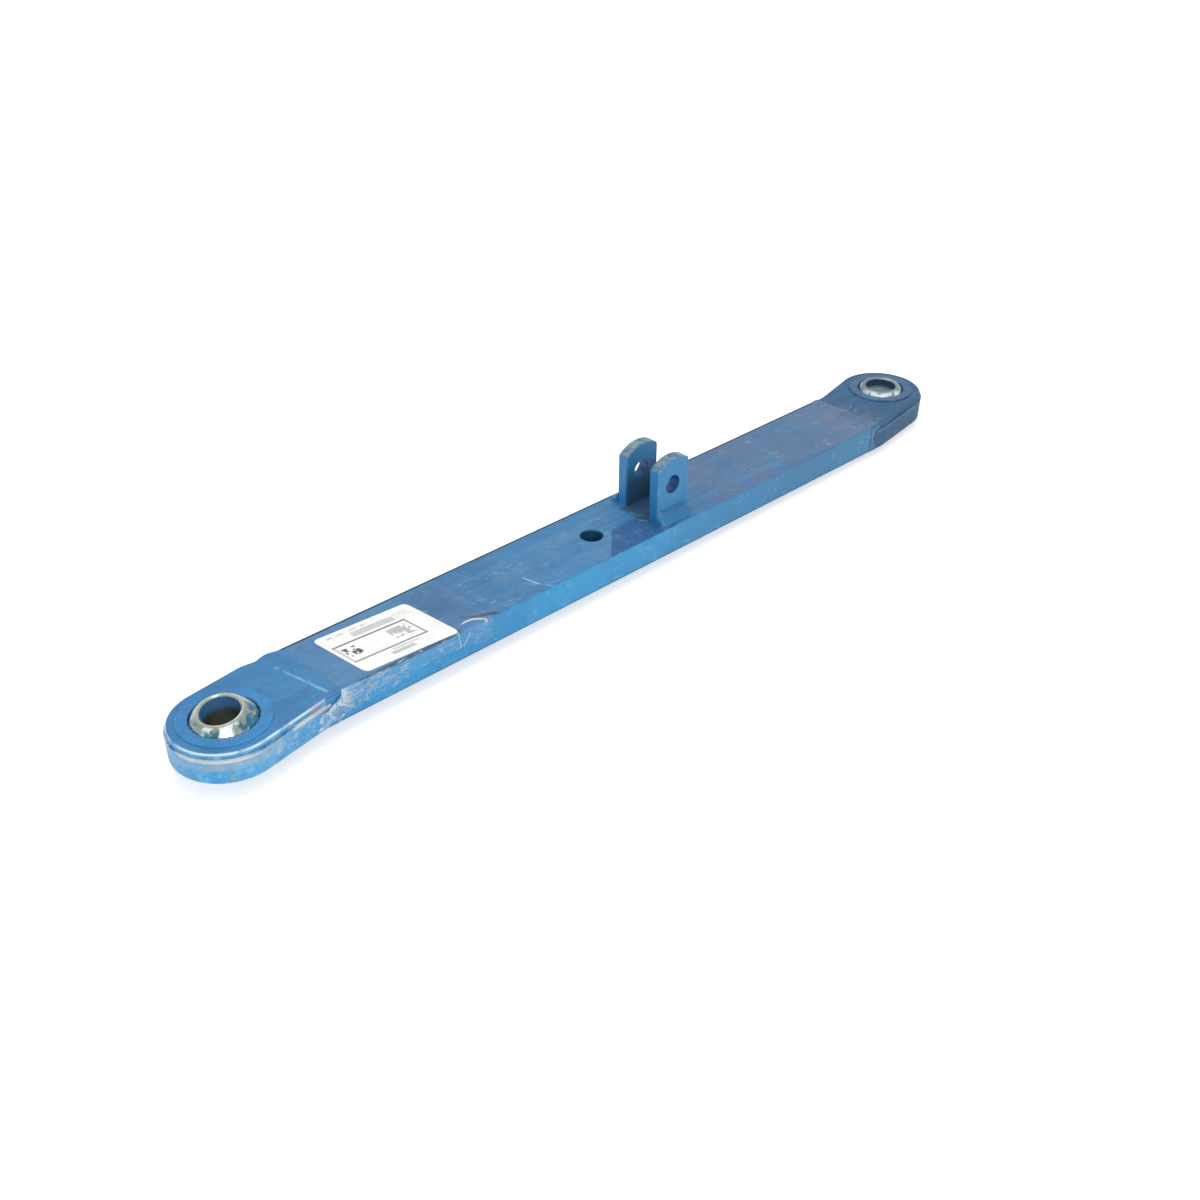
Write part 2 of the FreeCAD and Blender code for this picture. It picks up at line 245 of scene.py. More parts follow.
def make_floor():
    """Pale floor that touches both balls; the far one is narrower, so it slopes by half a degree."""
    half = 30.0
    lowest = 0.0
    far_lowest = rest_height - far_ball_width / 2 * MM
    span = (far_centre[0] + far_face_radius - near_centre[0] + near_face_radius) * MM
    slope = (far_lowest - lowest) / span
    start = (near_centre[0] - near_face_radius) * MM
    corners = [(x, y, (x - start) * slope) for x, y in
               ((-half, -half), (half, -half), (half, half), (-half, half))]
    mesh = bpy.data.meshes.new("floor")
    mesh.from_pydata(corners, [], [(0, 1, 2, 3)])
    floor = bpy.data.objects.new("floor", mesh)
    bpy.context.scene.collection.objects.link(floor)
    g = Graph("floor_white")
    diffuse = g.add("BsdfDiffuse", {"Color": (0.8, 0.8, 0.8, 1)}).outputs[0]
    glow = g.add("Emission", {"Color": (1, 1, 1, 1), "Strength": floor_glow}).outputs[0]
    both = g.add("AddShader", {0: diffuse, 1: glow}).outputs[0]
    path = g.add("LightPath").outputs
    seen = g.math("MAXIMUM", path["Is Camera Ray"], path["Is Glossy Ray"])
    seen = g.math("MAXIMUM", seen, path["Is Transmission Ray"])
    chosen = g.add("MixShader", {0: seen, 1: diffuse, 2: both})
    g.add("OutputMaterial", {"Surface": chosen.outputs[0]})
    mesh.materials.append(g.material)


# Pieces built as closed meshes

def solid_between(name, top, bottom):
    """Closed mesh between two grids of points with as many rows and columns."""
    rows = len(top)
    columns = len(top[0])
    under = rows * columns
    vertices = [point for row in top for point in row] + [point for row in bottom for point in row]
    faces = []
    for i in range(rows - 1):
        for j in range(columns - 1):
            corners = (i * columns + j, (i + 1) * columns + j, (i + 1) * columns + j + 1, i * columns + j + 1)
            faces.append(corners)
            faces.append(tuple(corner + under for corner in reversed(corners)))
    rim = [j for j in range(columns)]
    rim += [i * columns + columns - 1 for i in range(1, rows)]
    rim += [(rows - 1) * columns + j for j in range(columns - 2, -1, -1)]
    rim += [i * columns for i in range(rows - 2, 0, -1)]
    for index, first in enumerate(rim):
        second = rim[(index + 1) % len(rim)]
        faces.append((first, second, second + under, first + under))
    mesh = bpy.data.meshes.new(name)
    mesh.from_pydata(vertices, [], faces)
    shell = bmesh.new()
    shell.from_mesh(mesh)
    bmesh.ops.remove_doubles(shell, verts=shell.verts, dist=1e-6)
    bmesh.ops.dissolve_degenerate(shell, edges=shell.edges, dist=1e-6)
    bmesh.ops.recalc_face_normals(shell, faces=shell.faces)
    for face in shell.faces:
        face.smooth = True
    for edge in shell.edges:
        if len(edge.link_faces) == 2 and edge.calc_face_angle(0) > 0.9:
            edge.smooth = False
    shell.to_mesh(mesh)
    shell.free()
    piece = bpy.data.objects.new(name, mesh)
    bpy.context.scene.collection.objects.link(piece)
    return piece


def place_piece(piece, material, slot, *replaced):
    piece.data.materials.append(material)
    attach(piece, "arm")
    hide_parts(*replaced)
    return piece


def ripple(run, across, pitch):
    """Scaled surface of a weld bead, 0 to 1: each scale bows forward in its middle."""
    phase = (run + 0.45 * pitch * across * across * 4) / pitch
    share = phase - math.floor(phase)
    return share ** 0.6 * (1 - share) ** 0.25


def roughness_at(point, size, seed):
    """Smooth random height, -1 to 1, with bumps about this many millimetres across."""
    return noise.noise(Vector(point) / size + Vector((seed, seed * 1.7, seed * 2.3)))


def bead_path(run, first, second, corner):
    """Point and outward direction on a rounded corner-flat-corner line, run millimetres from its start.

    first and second are the half lengths of the flat and of the side it turns into.
    """
    turn = corner * math.pi / 4
    flat = 2 * (first - corner)
    if run < turn or run > turn + flat:
        sign = -1 if run < turn else 1
        angle = (turn - run if run < turn else run - turn - flat) / corner
        direction = (sign * math.sin(angle), math.cos(angle))
        centre = (sign * (first - corner), second - corner)
        return (centre[0] + corner * direction[0], centre[1] + corner * direction[1]), direction
    return (run - turn - (first - corner), second), (0.0, 1.0)


def weld_bead(name, x, half_span, first, second, place_on, crown, pitch, seed, rough):
    """Rippled bead laid across the bar at station x, round its rounded section from corner to corner."""
    corner = bar_edge_radius + 0.6
    length = 2 * (first - corner) + corner * math.pi / 2
    rows = int(length / pitch * 7)
    columns = 13
    top = []
    bottom = []
    for i in range(rows + 1):
        run = length * i / rows
        (a, b), (out_a, out_b) = bead_path(run, first, second, corner)
        top_row = []
        bottom_row = []
        for j in range(columns):
            side = 2 * j / (columns - 1) - 1
            arch = 1 - side * side
            bump = rough * (ripple(run, side, pitch) - 0.4)
            bump += 0.6 * rough * roughness_at((run, side * half_span, 0), 3.0, seed)
            height = arch * (crown + bump)
            along = x + side * half_span * (1 + 0.05 * roughness_at((run, side, 3), 3.0, seed))
            top_row.append(place_on(along, a + out_a * height, b + out_b * height))
            bottom_row.append(place_on(along, a - out_a * 0.9, b - out_b * 0.9))
        top.append(top_row)
        bottom.append(bottom_row)
    return solid_between(name, top, bottom)


def fillet_bead(name, side, seed):
    """Convex rippled bead in the corner between a lug's outer face and the bar."""
    reach = lug_half_width + 1.6
    length = 2 * reach - fillet_short
    pitch = 4.5
    rows = int(length / pitch * 8)
    columns = 15
    top = []
    bottom = []
    for i in range(rows + 1):
        run = length * i / rows
        away = max(0.0, 4.0 - min(run, length - run)) / 4.0
        size = math.sqrt(max(0.0, 1 - away * away)) * 0.45 + 0.55
        top_row = []
        bottom_row = []
        for j in range(columns):
            turn = j / (columns - 1)
            angle = turn * math.pi / 2
            straight = 1 / (math.cos(angle) + math.sin(angle))
            swell = 1 + 0.07 * math.sin(math.pi * turn)
            bump = 0.45 * ripple(run, 2 * turn - 1, pitch) * math.sin(math.pi * turn)
            bump += 0.7 * roughness_at((run, turn * 9, 0), 5.0, seed) * math.sin(math.pi * turn)
            radius = (fillet_leg * straight * swell * 0.94 + bump) * size
            x = lug_station - reach + run
            y = side * (lug_outer_face + radius * math.cos(angle))
            z = half_thickness + radius * math.sin(angle)
            top_row.append(at(x, y, z))
            bottom_row.append(at(x, side * (lug_outer_face - 0.5), half_thickness - 0.4))
        top.append(top_row)
        bottom.append(bottom_row)
    return solid_between(name, top, bottom)


def make_label(material):
    """Sheet of paper with rounded corners, a little uneven where it is not stuck down."""
    rows = 56
    columns = 44
    top = []
    bottom = []
    for i in range(rows + 1):
        u = label_half[0] * (2 * i / rows - 1)
        from_end = min(label_corner, label_half[0] - abs(u))
        cut = label_corner - math.sqrt(label_corner ** 2 - (label_corner - from_end) ** 2)
        top_row = []
        bottom_row = []
        for j in range(columns + 1):
            v = (label_half[1] - cut) * (2 * j / columns - 1)
            place = Vector(label_along) * u + Vector(label_across) * v
            swell = 0.10 + 0.10 * roughness_at((u, v, 0), 16.0, 3.0) + 0.03 * roughness_at((u, v, 0), 5.0, 7.0)
            x = label_centre[0] + place.x
            y = label_centre[1] + place.y
            top_row.append(at(x, y, half_thickness + 0.16 + max(0.0, swell)))
            bottom_row.append(at(x, y, half_thickness + 0.01))
        top.append(top_row)
        bottom.append(bottom_row)
    piece = solid_between("paper_label_sheet", top, bottom)
    return place_piece(piece, material, "label_paper", "paper_label")


def tape_path(run):
    """Point (y, z) and outward direction on the bar's surface, run millimetres from the tape's back edge."""
    flat = tape_back + half_width - bar_edge_radius
    turn_length = bar_edge_radius * math.pi / 2
    if run < flat:
        return (tape_back - run, half_thickness), (0.0, 1.0)
    if run < flat + turn_length:
        angle = (run - flat) / bar_edge_radius
        direction = (-math.sin(angle), math.cos(angle))
        centre = (-half_width + bar_edge_radius, half_thickness - bar_edge_radius)
        return (centre[0] + bar_edge_radius * direction[0], centre[1] + bar_edge_radius * direction[1]), direction
    down = run - flat - turn_length
    return (-half_width, half_thickness - bar_edge_radius - down), (-1.0, 0.0)


def crease_height(x, run, on_side):
    """How far the film stands off the bar, in millimetres, and how creased it is, 0 to 1."""
    near_corner = (1 - smooth(x, -312.0, -290.0)) * smooth(run, 56.0, 68.0)
    far_edge = smooth(x, -190.0, -172.0) * smooth(run, 55.0, 66.0)
    ridge_long = 1 - abs(roughness_at((x * 0.45, run, 1.0), 7.0, 11.0)) * 3.2
    ridge_cross = 1 - abs(roughness_at((x, run * 0.5, 4.0), 6.0, 5.0)) * 3.2
    ridge = max(0.0, ridge_long, ridge_cross)
    amount = 0.12 + 0.22 * on_side + 0.75 * near_corner + 0.2 * far_edge
    return 0.08 + ridge * ridge * amount * 0.9, ridge * ridge * min(1.0, amount * 1.3)


def make_tape(material):
    """Clear film over the label, folded down over the front edge, with its creases as geometry."""
    columns = 132
    rows = 118
    start, stop = tape_span
    side_start = tape_back + half_width
    top = []
    bottom = []
    creases = []
    for i in range(columns + 1):
        share = i / columns
        top_row = []
        bottom_row = []
        reach_down = 17.5 + 5.5 * (1 - smooth(share, 0.0, 0.3)) + 1.6 * roughness_at((share * 140, 0, 0), 9.0, 2.0)
        reach_down -= 5.0 * smooth(share, 0.35, 0.6) * (1 - smooth(share, 0.75, 0.95))
        length = side_start + reach_down
        for j in range(rows + 1):
            run = length * (j / rows) ** 0.8
            on_side = smooth(run, side_start - 3, side_start + 2)
            slant = -32.0 * smooth(run, side_start - 4, side_start + 20) * (1 - share) ** 3
            ragged = 1.2 * roughness_at((run, 7.0, share), 4.0, 9.0)
            x = start + (stop - start) * share + slant + ragged * (1 if share in (0, 1) else 0)
            (y, z), (out_y, out_z) = tape_path(run)
            stand, crease = crease_height(x, run, on_side)
            over_label = 0.45 if abs(x - label_centre[0]) < label_half[0] + 3 and y > -36.5 else 0.0
            over_weld = on_side * 1.9 * (1 - smooth(x, -308.0, -303.0)) * smooth(z, -16.0, -2.0)
            over_weld += on_side * 1.0 * (1 - smooth(x, -308.0, -303.0)) * (1 - smooth(z, -16.0, -2.0))
            height = stand + over_label + over_weld
            top_row.append(at(x, y + out_y * (height + 0.06), z + out_z * (height + 0.06)))
            bottom_row.append(at(x, y + out_y * height, z + out_z * height))
            creases.append(crease)
        top.append(top_row)
        bottom.append(bottom_row)
    piece = solid_between("label_tape_film", top, bottom)
    return place_piece(piece, material, "clear_tape", "label_tape")


# Materials

def surface_detail(g, fine_size, strength):
    fine = g.noise(fine_size, 4.0, 0.6)
    coarse = g.noise(fine_size * 9, 3.0, 0.5)
    height = g.math("ADD", fine, g.times(coarse, 1.6))
    return fine, g.add("Bump", {"Height": height, "Strength": strength, "Distance": 0.0006}).outputs[0]


def edge_mask(g, radius):
    """1 along convex and concave edges, from the difference between rounded and true normals."""
    rounded = g.add("Bevel", {"Radius": radius * MM}, samples=6).outputs[0]
    true = g.add("NewGeometry").outputs["Normal"]
    alike = g.add("VectorMath", {0: rounded, 1: true}, operation="DOT_PRODUCT").outputs["Value"]
    return g.ramp(alike, 0.985, 0.80)


def off_underside(g):
    """0 on faces that look straight down, 1 on all others."""
    return g.ramp(g.split(g.add("TexCoord").outputs["Normal"])[2], -0.97, -0.80)


def blue_coat(g, top, side, dust, dust_amount):
    """Enamel colour, streaked and clouded: faces that look up get a cooler, darker tone than the sides, partly
    dust and partly painted shade, with painted light on the sides.
    """
    normal = g.split(g.add("TexCoord").outputs["Normal"])
    upward = g.ramp(normal[2], 0.45, 0.9)
    clouds = g.noise(70.0, 5.0, 0.62, distortion=0.4)
    blotches = g.noise(11.0, 5.0, 0.6)
    specks = g.noise(1.6, 4.0, 0.7)
    streaks = g.noise(9.0, 5.0, 0.7, vector=g.local((0, 0, 0), stretch=(9, 1, 1)))
    # painted light and shade: the tops and the sides get different base tones
    coat = g.mix(upward, side, top)
    deep = g.mix(upward, deep_side, deep_top)
    coat = g.mix(g.times(g.ramp(clouds, 0.42, 0.62), 0.45), coat, deep)
    coat = g.mix(g.times(g.ramp(blotches, 0.50, 0.68), 0.35), coat, deep)
    coat = g.mix(g.times(g.ramp(specks, 0.60, 0.76), 0.22), coat, pale_speck)
    dusty = g.times(g.ramp(streaks, 0.42, 0.66), upward, dust_amount)
    coat = g.mix(dusty, coat, dust)
    return coat, upward, blotches, specks


def scratch_mask(g, size, turn, seed, width=0.02):
    """Thin broken lines that run mostly one way."""
    shifted = g.local((seed * MM, seed * 2 * MM, 0), turn=(0, 0, math.radians(turn)), stretch=(14, 1, 1))
    lines = g.math("ABSOLUTE", g.math("SUBTRACT", g.noise(size, 2.0, 0.5, vector=shifted), 0.5))
    broken = g.ramp(g.noise(19.0, 3.0, 0.6, vector=g.local((seed * MM, 0, 0))), 0.55, 0.66)
    return g.times(g.ramp(lines, width, width * 0.3), broken)


def bar_material():
    g = Graph("bar_enamel")
    place = g.split(g.local((0, 0, 0)))
    x, y = place[0], place[1]
    coat, upward, blotches, specks = blue_coat(g, bar_top, bar_side, bar_dust, 0.40)
    z = g.split(g.local((0, 0, rest_height)))[2]
    far_grey = g.times(g.ramp(x, 40.0, 130.0), g.ramp(g.noise(26.0, 5.0, 0.65), 0.30, 0.56))
    coat = g.mix(g.times(far_grey, upward, 0.66), coat, far_dust)
    coat = g.mix(g.times(g.ramp(x, -40.0, 240.0), g.math("SUBTRACT", 1.0, upward), 0.60), coat, far_side)
    by_label = g.distance(g.local((-183 * MM, 6 * MM, rest_height + half_thickness * MM), stretch=(26, 32, 9)))
    # darker blue patch on the top to the right of the label
    dark_by_label = g.times(g.ramp(g.math("ADD", by_label, g.times(g.noise(30.0), 0.8)), 1.6, 0.7), upward)
    coat = g.mix(g.times(dark_by_label, 0.6), coat, dark_blue_patch)
    # darker blue patch on the top in front of the lugs
    across = g.math("SUBTRACT", x, y)
    dark_by_lugs = g.times(g.ramp(across, 0.3, 1.8), g.ramp(across, 84.0, 66.0), g.ramp(y, -2.0, -9.0), upward,
                    g.ramp(blotches, 0.2, 0.5))
    coat = g.mix(g.times(dark_by_lugs, 0.92), coat, dark_blue_patch)
    # painted shade on the bar's top between the lugs
    between = g.times(g.inside(x, 30.0, 72.0, 9.0), g.inside(y, -13.0, 13.0, 6.0), upward)
    coat = g.mix(g.times(between, 0.62), coat, between_lugs_shade)
    from_hole = g.distance(g.local((bar_hole[0] * MM, bar_hole[1] * MM, 0), stretch=(1, 1, 1000)))
    coat = g.mix(g.times(g.ramp(from_hole, 10.2, 9.8), g.ramp(z, 12.9, 11.0), 0.85), coat, hole_shade)
    scratches = g.math("MAXIMUM", scratch_mask(g, 3.0, 8.0, 0.0), scratch_mask(g, 4.0, -62.0, 40.0))
    coat = g.mix(g.times(scratches, 0.45), coat, scratch_and_highlight_pale)
    edge = edge_mask(g, 1.8)
    # painted shade along the bar's edges, broken by noise
    edge_shade = g.times(edge, g.ramp(g.noise(8.0, 4.0, 0.7), 0.28, 0.48))
    # painted shade: a painted shadow of the label's edge along the front top edge, and dark lines along the back
    # top edge and the bottom edges
    front_rim = g.times(g.inside(x, -284.0, -196.0, 6.0), g.inside(y, -37.3, -35.0, 0.8), g.ramp(z, 11.0, 12.5))
    back_rim = g.times(g.ramp(y, 34.0, 35.2), g.ramp(z, 11.0, 12.4))
    low_rim = g.times(g.ramp(z, -10.8, -12.0), off_underside(g))
    rim_shade = g.math("MAXIMUM", back_rim, g.times(low_rim, 0.9))
    rim_shade = g.math("MAXIMUM", rim_shade, g.times(front_rim, 0.9))
    coat = g.mix(g.times(g.math("MAXIMUM", edge_shade, rim_shade), 0.85), coat, dark_edge_shade)
    chips = g.times(edge, g.ramp(g.noise(5.0, 3.0, 0.6), 0.68, 0.74))
    coat = g.mix(chips, coat, bare_metal)
    spot = g.local((-167 * MM, -31.0 * MM, rest_height + half_thickness * MM),
                   turn=(0, 0, math.radians(-26.0)), stretch=(17, 2.0, 2.6))
    rust = g.ramp(g.math("ADD", g.distance(spot), g.times(blotches, 1.2)), 1.75, 1.2)
    rust_specks = g.times(g.ramp(g.noise(7.0, 5.0, 0.75, vector=g.local((90 * MM, 0, 0))), 0.70, 0.77), upward)
    coat = g.mix(g.math("MAXIMUM", g.times(rust, 0.85), g.times(rust_specks, 0.5)), coat, rust_brown)
    weld_haze = g.distance(g.local((300 * MM, -8 * MM, rest_height + half_thickness * MM), stretch=(26, 32, 9)))
    haze = g.times(g.ramp(weld_haze, 1.1, 0.3), g.ramp(g.noise(9.0, 4.0, 0.65), 0.40, 0.62), 0.45)
    coat = g.mix(haze, coat, rust_pink)
    line = g.split(g.local((-107.5 * MM, -20.0 * MM, 0), turn=(0, 0, math.radians(-76.0))))
    gouge = g.times(g.inside(line[0], -8.0, 8.0, 1.0), g.inside(line[1], -0.25, 0.25, 0.35), upward)
    coat = g.mix(g.times(gouge, 0.8), coat, bare_metal)
    fine, bumps = surface_detail(g, 1.1, 0.35)
    rough = g.math("ADD", g.ramp(fine, 0.3, 0.7, 0.34, 0.56), g.math("MAXIMUM", g.times(upward, 0.08), g.times(rim_shade, 0.35)))
    return g.finish(Base_Color=coat, Roughness=rough, Normal=bumps)


def seam_line(g, start, stop):
    """Thin broken line between two points on the top face."""
    middle = ((start[0] + stop[0]) / 2 * MM, (start[1] + stop[1]) / 2 * MM, 0)
    angle = math.atan2(stop[1] - start[1], stop[0] - start[0])
    half = math.hypot(stop[0] - start[0], stop[1] - start[1]) / 2
    place = g.split(g.local(middle, turn=(0, 0, angle)))
    broken = g.ramp(g.noise(7.0, 4.0, 0.65), 0.34, 0.52)
    return g.times(g.inside(place[0], -half, half, 2.0), g.inside(place[1], -0.4, 0.4, 1.5), broken)


def forging_material(name, top, side, wear_and_gleam, patches):
    """Enamel over forged steel, bright along the ledge between the two dies, partly rubbed bare and partly a
    painted highlight, with a painted highlight on the top edge and painted shade in the crease.
    """
    g = Graph(name)
    z = g.split(g.local((0, 0, rest_height)))[2]
    coat, upward, blotches, specks = blue_coat(g, top, side, bar_dust, 0.18)
    sideways = g.math("SUBTRACT", 1.0, upward)
    streaky = g.noise(9.0, 5.0, 0.65, vector=g.local((0, 0, 0), stretch=(3, 3, 1)))
    ledge = g.times(g.inside(z, parting_height - 2.0, parting_height + 0.3, 0.7), g.ramp(streaky, 0.32, 0.50))
    band = g.times(g.inside(z, parting_height - 7.0, parting_height - 1.0, 4.0), g.ramp(streaky, 0.40, 0.58))
    coat = g.mix(g.times(band, 0.65 * wear_and_gleam), coat, worn_steel)
    coat = g.mix(g.times(band, g.ramp(blotches, 0.50, 0.62), 0.55 * wear_and_gleam), coat, worn_brown)
    # the ledge is partly rubbed bare metal and partly a painted highlight
    coat = g.mix(g.times(ledge, wear_and_gleam), coat, bare_metal)
    # painted shade in the crease just above the parting ledge
    crease_shade = g.inside(z, parting_height + 0.6, parting_height + 1.5, 0.4)
    coat = g.mix(g.times(crease_shade, sideways, 0.60 * wear_and_gleam), coat, crevice_shade)
    scuffs = g.times(sideways, g.ramp(g.noise(6.0, 5.0, 0.7, vector=g.local((33 * MM, 0, 0))), 0.50, 0.62))
    coat = g.mix(g.times(scuffs, 0.45 * wear_and_gleam), coat, worn_steel)
    glints = g.times(sideways, g.ramp(g.noise(7.0, 3.0, 0.6, vector=g.local((0, 50 * MM, 0))), 0.56, 0.66))
    coat = g.mix(g.times(glints, 0.40 * wear_and_gleam), coat, near_glint)
    # painted highlight along the rounded top edge
    facing = g.split(g.add("TexCoord").outputs["Normal"])[2]
    rim = g.times(g.inside(facing, 0.45, 0.80, 0.15), g.ramp(z, parting_height + 1.5, parting_height + 3.0),
                  g.ramp(streaky, 0.30, 0.50))
    coat = g.mix(g.times(rim, 0.85 * wear_and_gleam), coat, painted_rim_highlight)
    low_wear = g.times(sideways, g.ramp(z, -4.0, -12.0), g.ramp(g.noise(12.0, 4.0, 0.65), 0.42, 0.62))
    coat = g.mix(g.times(low_wear, 0.52 * wear_and_gleam), coat, low_grey)
    # painted shade along the lowest edge of the forging
    coat = g.mix(g.times(g.ramp(z, -11.6, -12.8), off_underside(g), 0.7), coat, dark_edge_shade)
    stains = g.ramp(g.noise(8.0, 5.0, 0.7), 0.36, 0.60)
    flakes = g.ramp(g.noise(5.0, 3.0, 0.6), 0.64, 0.70)
    for centre, reach, tone in patches:
        away = g.distance(g.local(tuple(centre), stretch=reach))
        coat = g.mix(g.times(g.ramp(away, 1.1, 0.3), stains, 0.5), coat, tone)
        coat = g.mix(g.times(g.ramp(away, 1.3, 0.6), flakes, 0.8), coat, bare_metal)
    # painted highlight along the near seam
    coat = g.mix(g.times(seam_line(g, near_seam[0], near_seam[1]), upward, 0.42), coat, pale_speck)
    dents = g.noise(5.0, 3.0, 0.5)
    fine = g.noise(1.3, 4.0, 0.6)
    height = g.math("ADD", g.times(dents, 1.8), g.times(fine, 0.6))
    bumps = g.add("Bump", {"Height": height, "Strength": 0.5, "Distance": 0.0006}).outputs[0]
    dull = 0.20 * (1 - wear_and_gleam)
    rough = g.math("SUBTRACT", g.ramp(fine, 0.3, 0.7, 0.30 + dull, 0.50 + dull), g.times(ledge, 0.08))
    return g.finish(Base_Color=coat, Roughness=rough, Normal=bumps)


def ring_material(name, centre, top, side, mouth_radius):
    """Fresher, glossier enamel with turning marks showing through, and painted shade in the groove round the ball.
    """
    g = Graph(name)
    coat, upward, blotches, specks = blue_coat(g, top, side, bar_dust, 0.1)
    flat = g.local((centre[0] * MM, centre[1] * MM, 0), stretch=(1, 1, 1000))
    radius = g.distance(flat)
    turned = g.ramp(g.math("SINE", g.times(radius, 3.1)), 0.55, 0.95)
    coat = g.mix(g.times(turned, g.ramp(blotches, 0.46, 0.62), 0.28), coat, pale_speck)
    # painted shade in the groove round the ball
    coat = g.mix(g.times(g.ramp(radius, mouth_radius + 1.6, mouth_radius + 0.7), 0.85), coat, crevice_shade)
    fine, bumps = surface_detail(g, 1.4, 0.3)
    return g.finish(Base_Color=coat, Roughness=g.ramp(fine, 0.3, 0.7, 0.20, 0.38), Normal=bumps)


def lug_material():
    g = Graph("lug_enamel")
    coat, upward, blotches, specks = blue_coat(g, lug_top, lug_side, bar_dust, 0.3)
    place = g.split(g.local((0, 0, rest_height)))
    z = place[2]
    edge = edge_mask(g, 1.6)
    cut_rim = g.times(g.ramp(z, 52.0, 58.0), g.ramp(g.split(g.add("TexCoord").outputs["Normal"])[2], 0.12, 0.45))
    # painted highlight in grey along the lugs' top edges
    rim_highlight = g.times(cut_rim, g.ramp(g.noise(5.0, 5.0, 0.75), 0.38, 0.60))
    coat = g.mix(g.times(cut_rim, 0.55), coat, rim_dark)
    coat = g.mix(g.times(rim_highlight, 0.60), coat, rim_highlight_grey)
    # painted highlight along the lugs' edges, broken by noise
    coat = g.mix(g.times(edge, g.ramp(g.noise(7.0, 4.0, 0.7), 0.40, 0.58), 0.65), coat, scratch_and_highlight_pale)
    # painted shade on the lugs' inner faces, darker towards the bottom
    inner = g.times(g.inside(place[1], -14.5, 14.5, 1.0), g.ramp(z, 60.0, 26.0, 0.25, 1.0))
    coat = g.mix(g.times(inner, 0.74), coat, lug_inner_shade)
    pin = g.distance(g.local((lug_pin[0] * MM, 0, rest_height + lug_pin[1] * MM), stretch=(1, 1000, 1)))
    # painted light: the lugs' end faces get a more saturated blue than their sides
    flanks = g.ramp(g.math("ABSOLUTE", g.split(g.add("TexCoord").outputs["Normal"])[0]), 0.6, 0.9)
    coat = g.mix(g.times(flanks, 0.60), coat, lug_flank)
    # painted shade inside the pin holes
    coat = g.mix(g.times(g.ramp(pin, 8.6, 8.2), 0.92), coat, hole_wall_shade)
    coat = g.mix(g.times(scratch_mask(g, 3.0, 0.0, 12.0), 0.4), coat, scratch_and_highlight_pale)
    fine, bumps = surface_detail(g, 1.2, 0.35)
    return g.finish(Base_Color=coat, Roughness=g.ramp(fine, 0.3, 0.7, 0.30, 0.52), Normal=bumps)


def weld_material(name, top, side, rust_share):
    g = Graph(name)
    coat, upward, blotches, specks = blue_coat(g, top, side, bar_dust, 0.2)
    rust = g.ramp(g.noise(10.0, 4.0, 0.65), 0.68 - 0.20 * rust_share, 0.84 - 0.20 * rust_share)
    coat = g.mix(g.times(rust, 0.42), coat, rust_pink)
    bright = g.ramp(g.noise(5.0, 3.0, 0.6, vector=g.local((30 * MM, 0, 0))), 0.66, 0.72)
    coat = g.mix(g.times(bright, 0.5), coat, bare_metal)
    # painted highlight along the near seam
    coat = g.mix(g.times(seam_line(g, near_seam[0], near_seam[1]), upward, 0.7), coat, pale_speck)
    fine, bumps = surface_detail(g, 0.9, 0.4)
    return g.finish(Base_Color=coat, Roughness=g.ramp(fine, 0.3, 0.7, 0.28, 0.5), Normal=bumps)


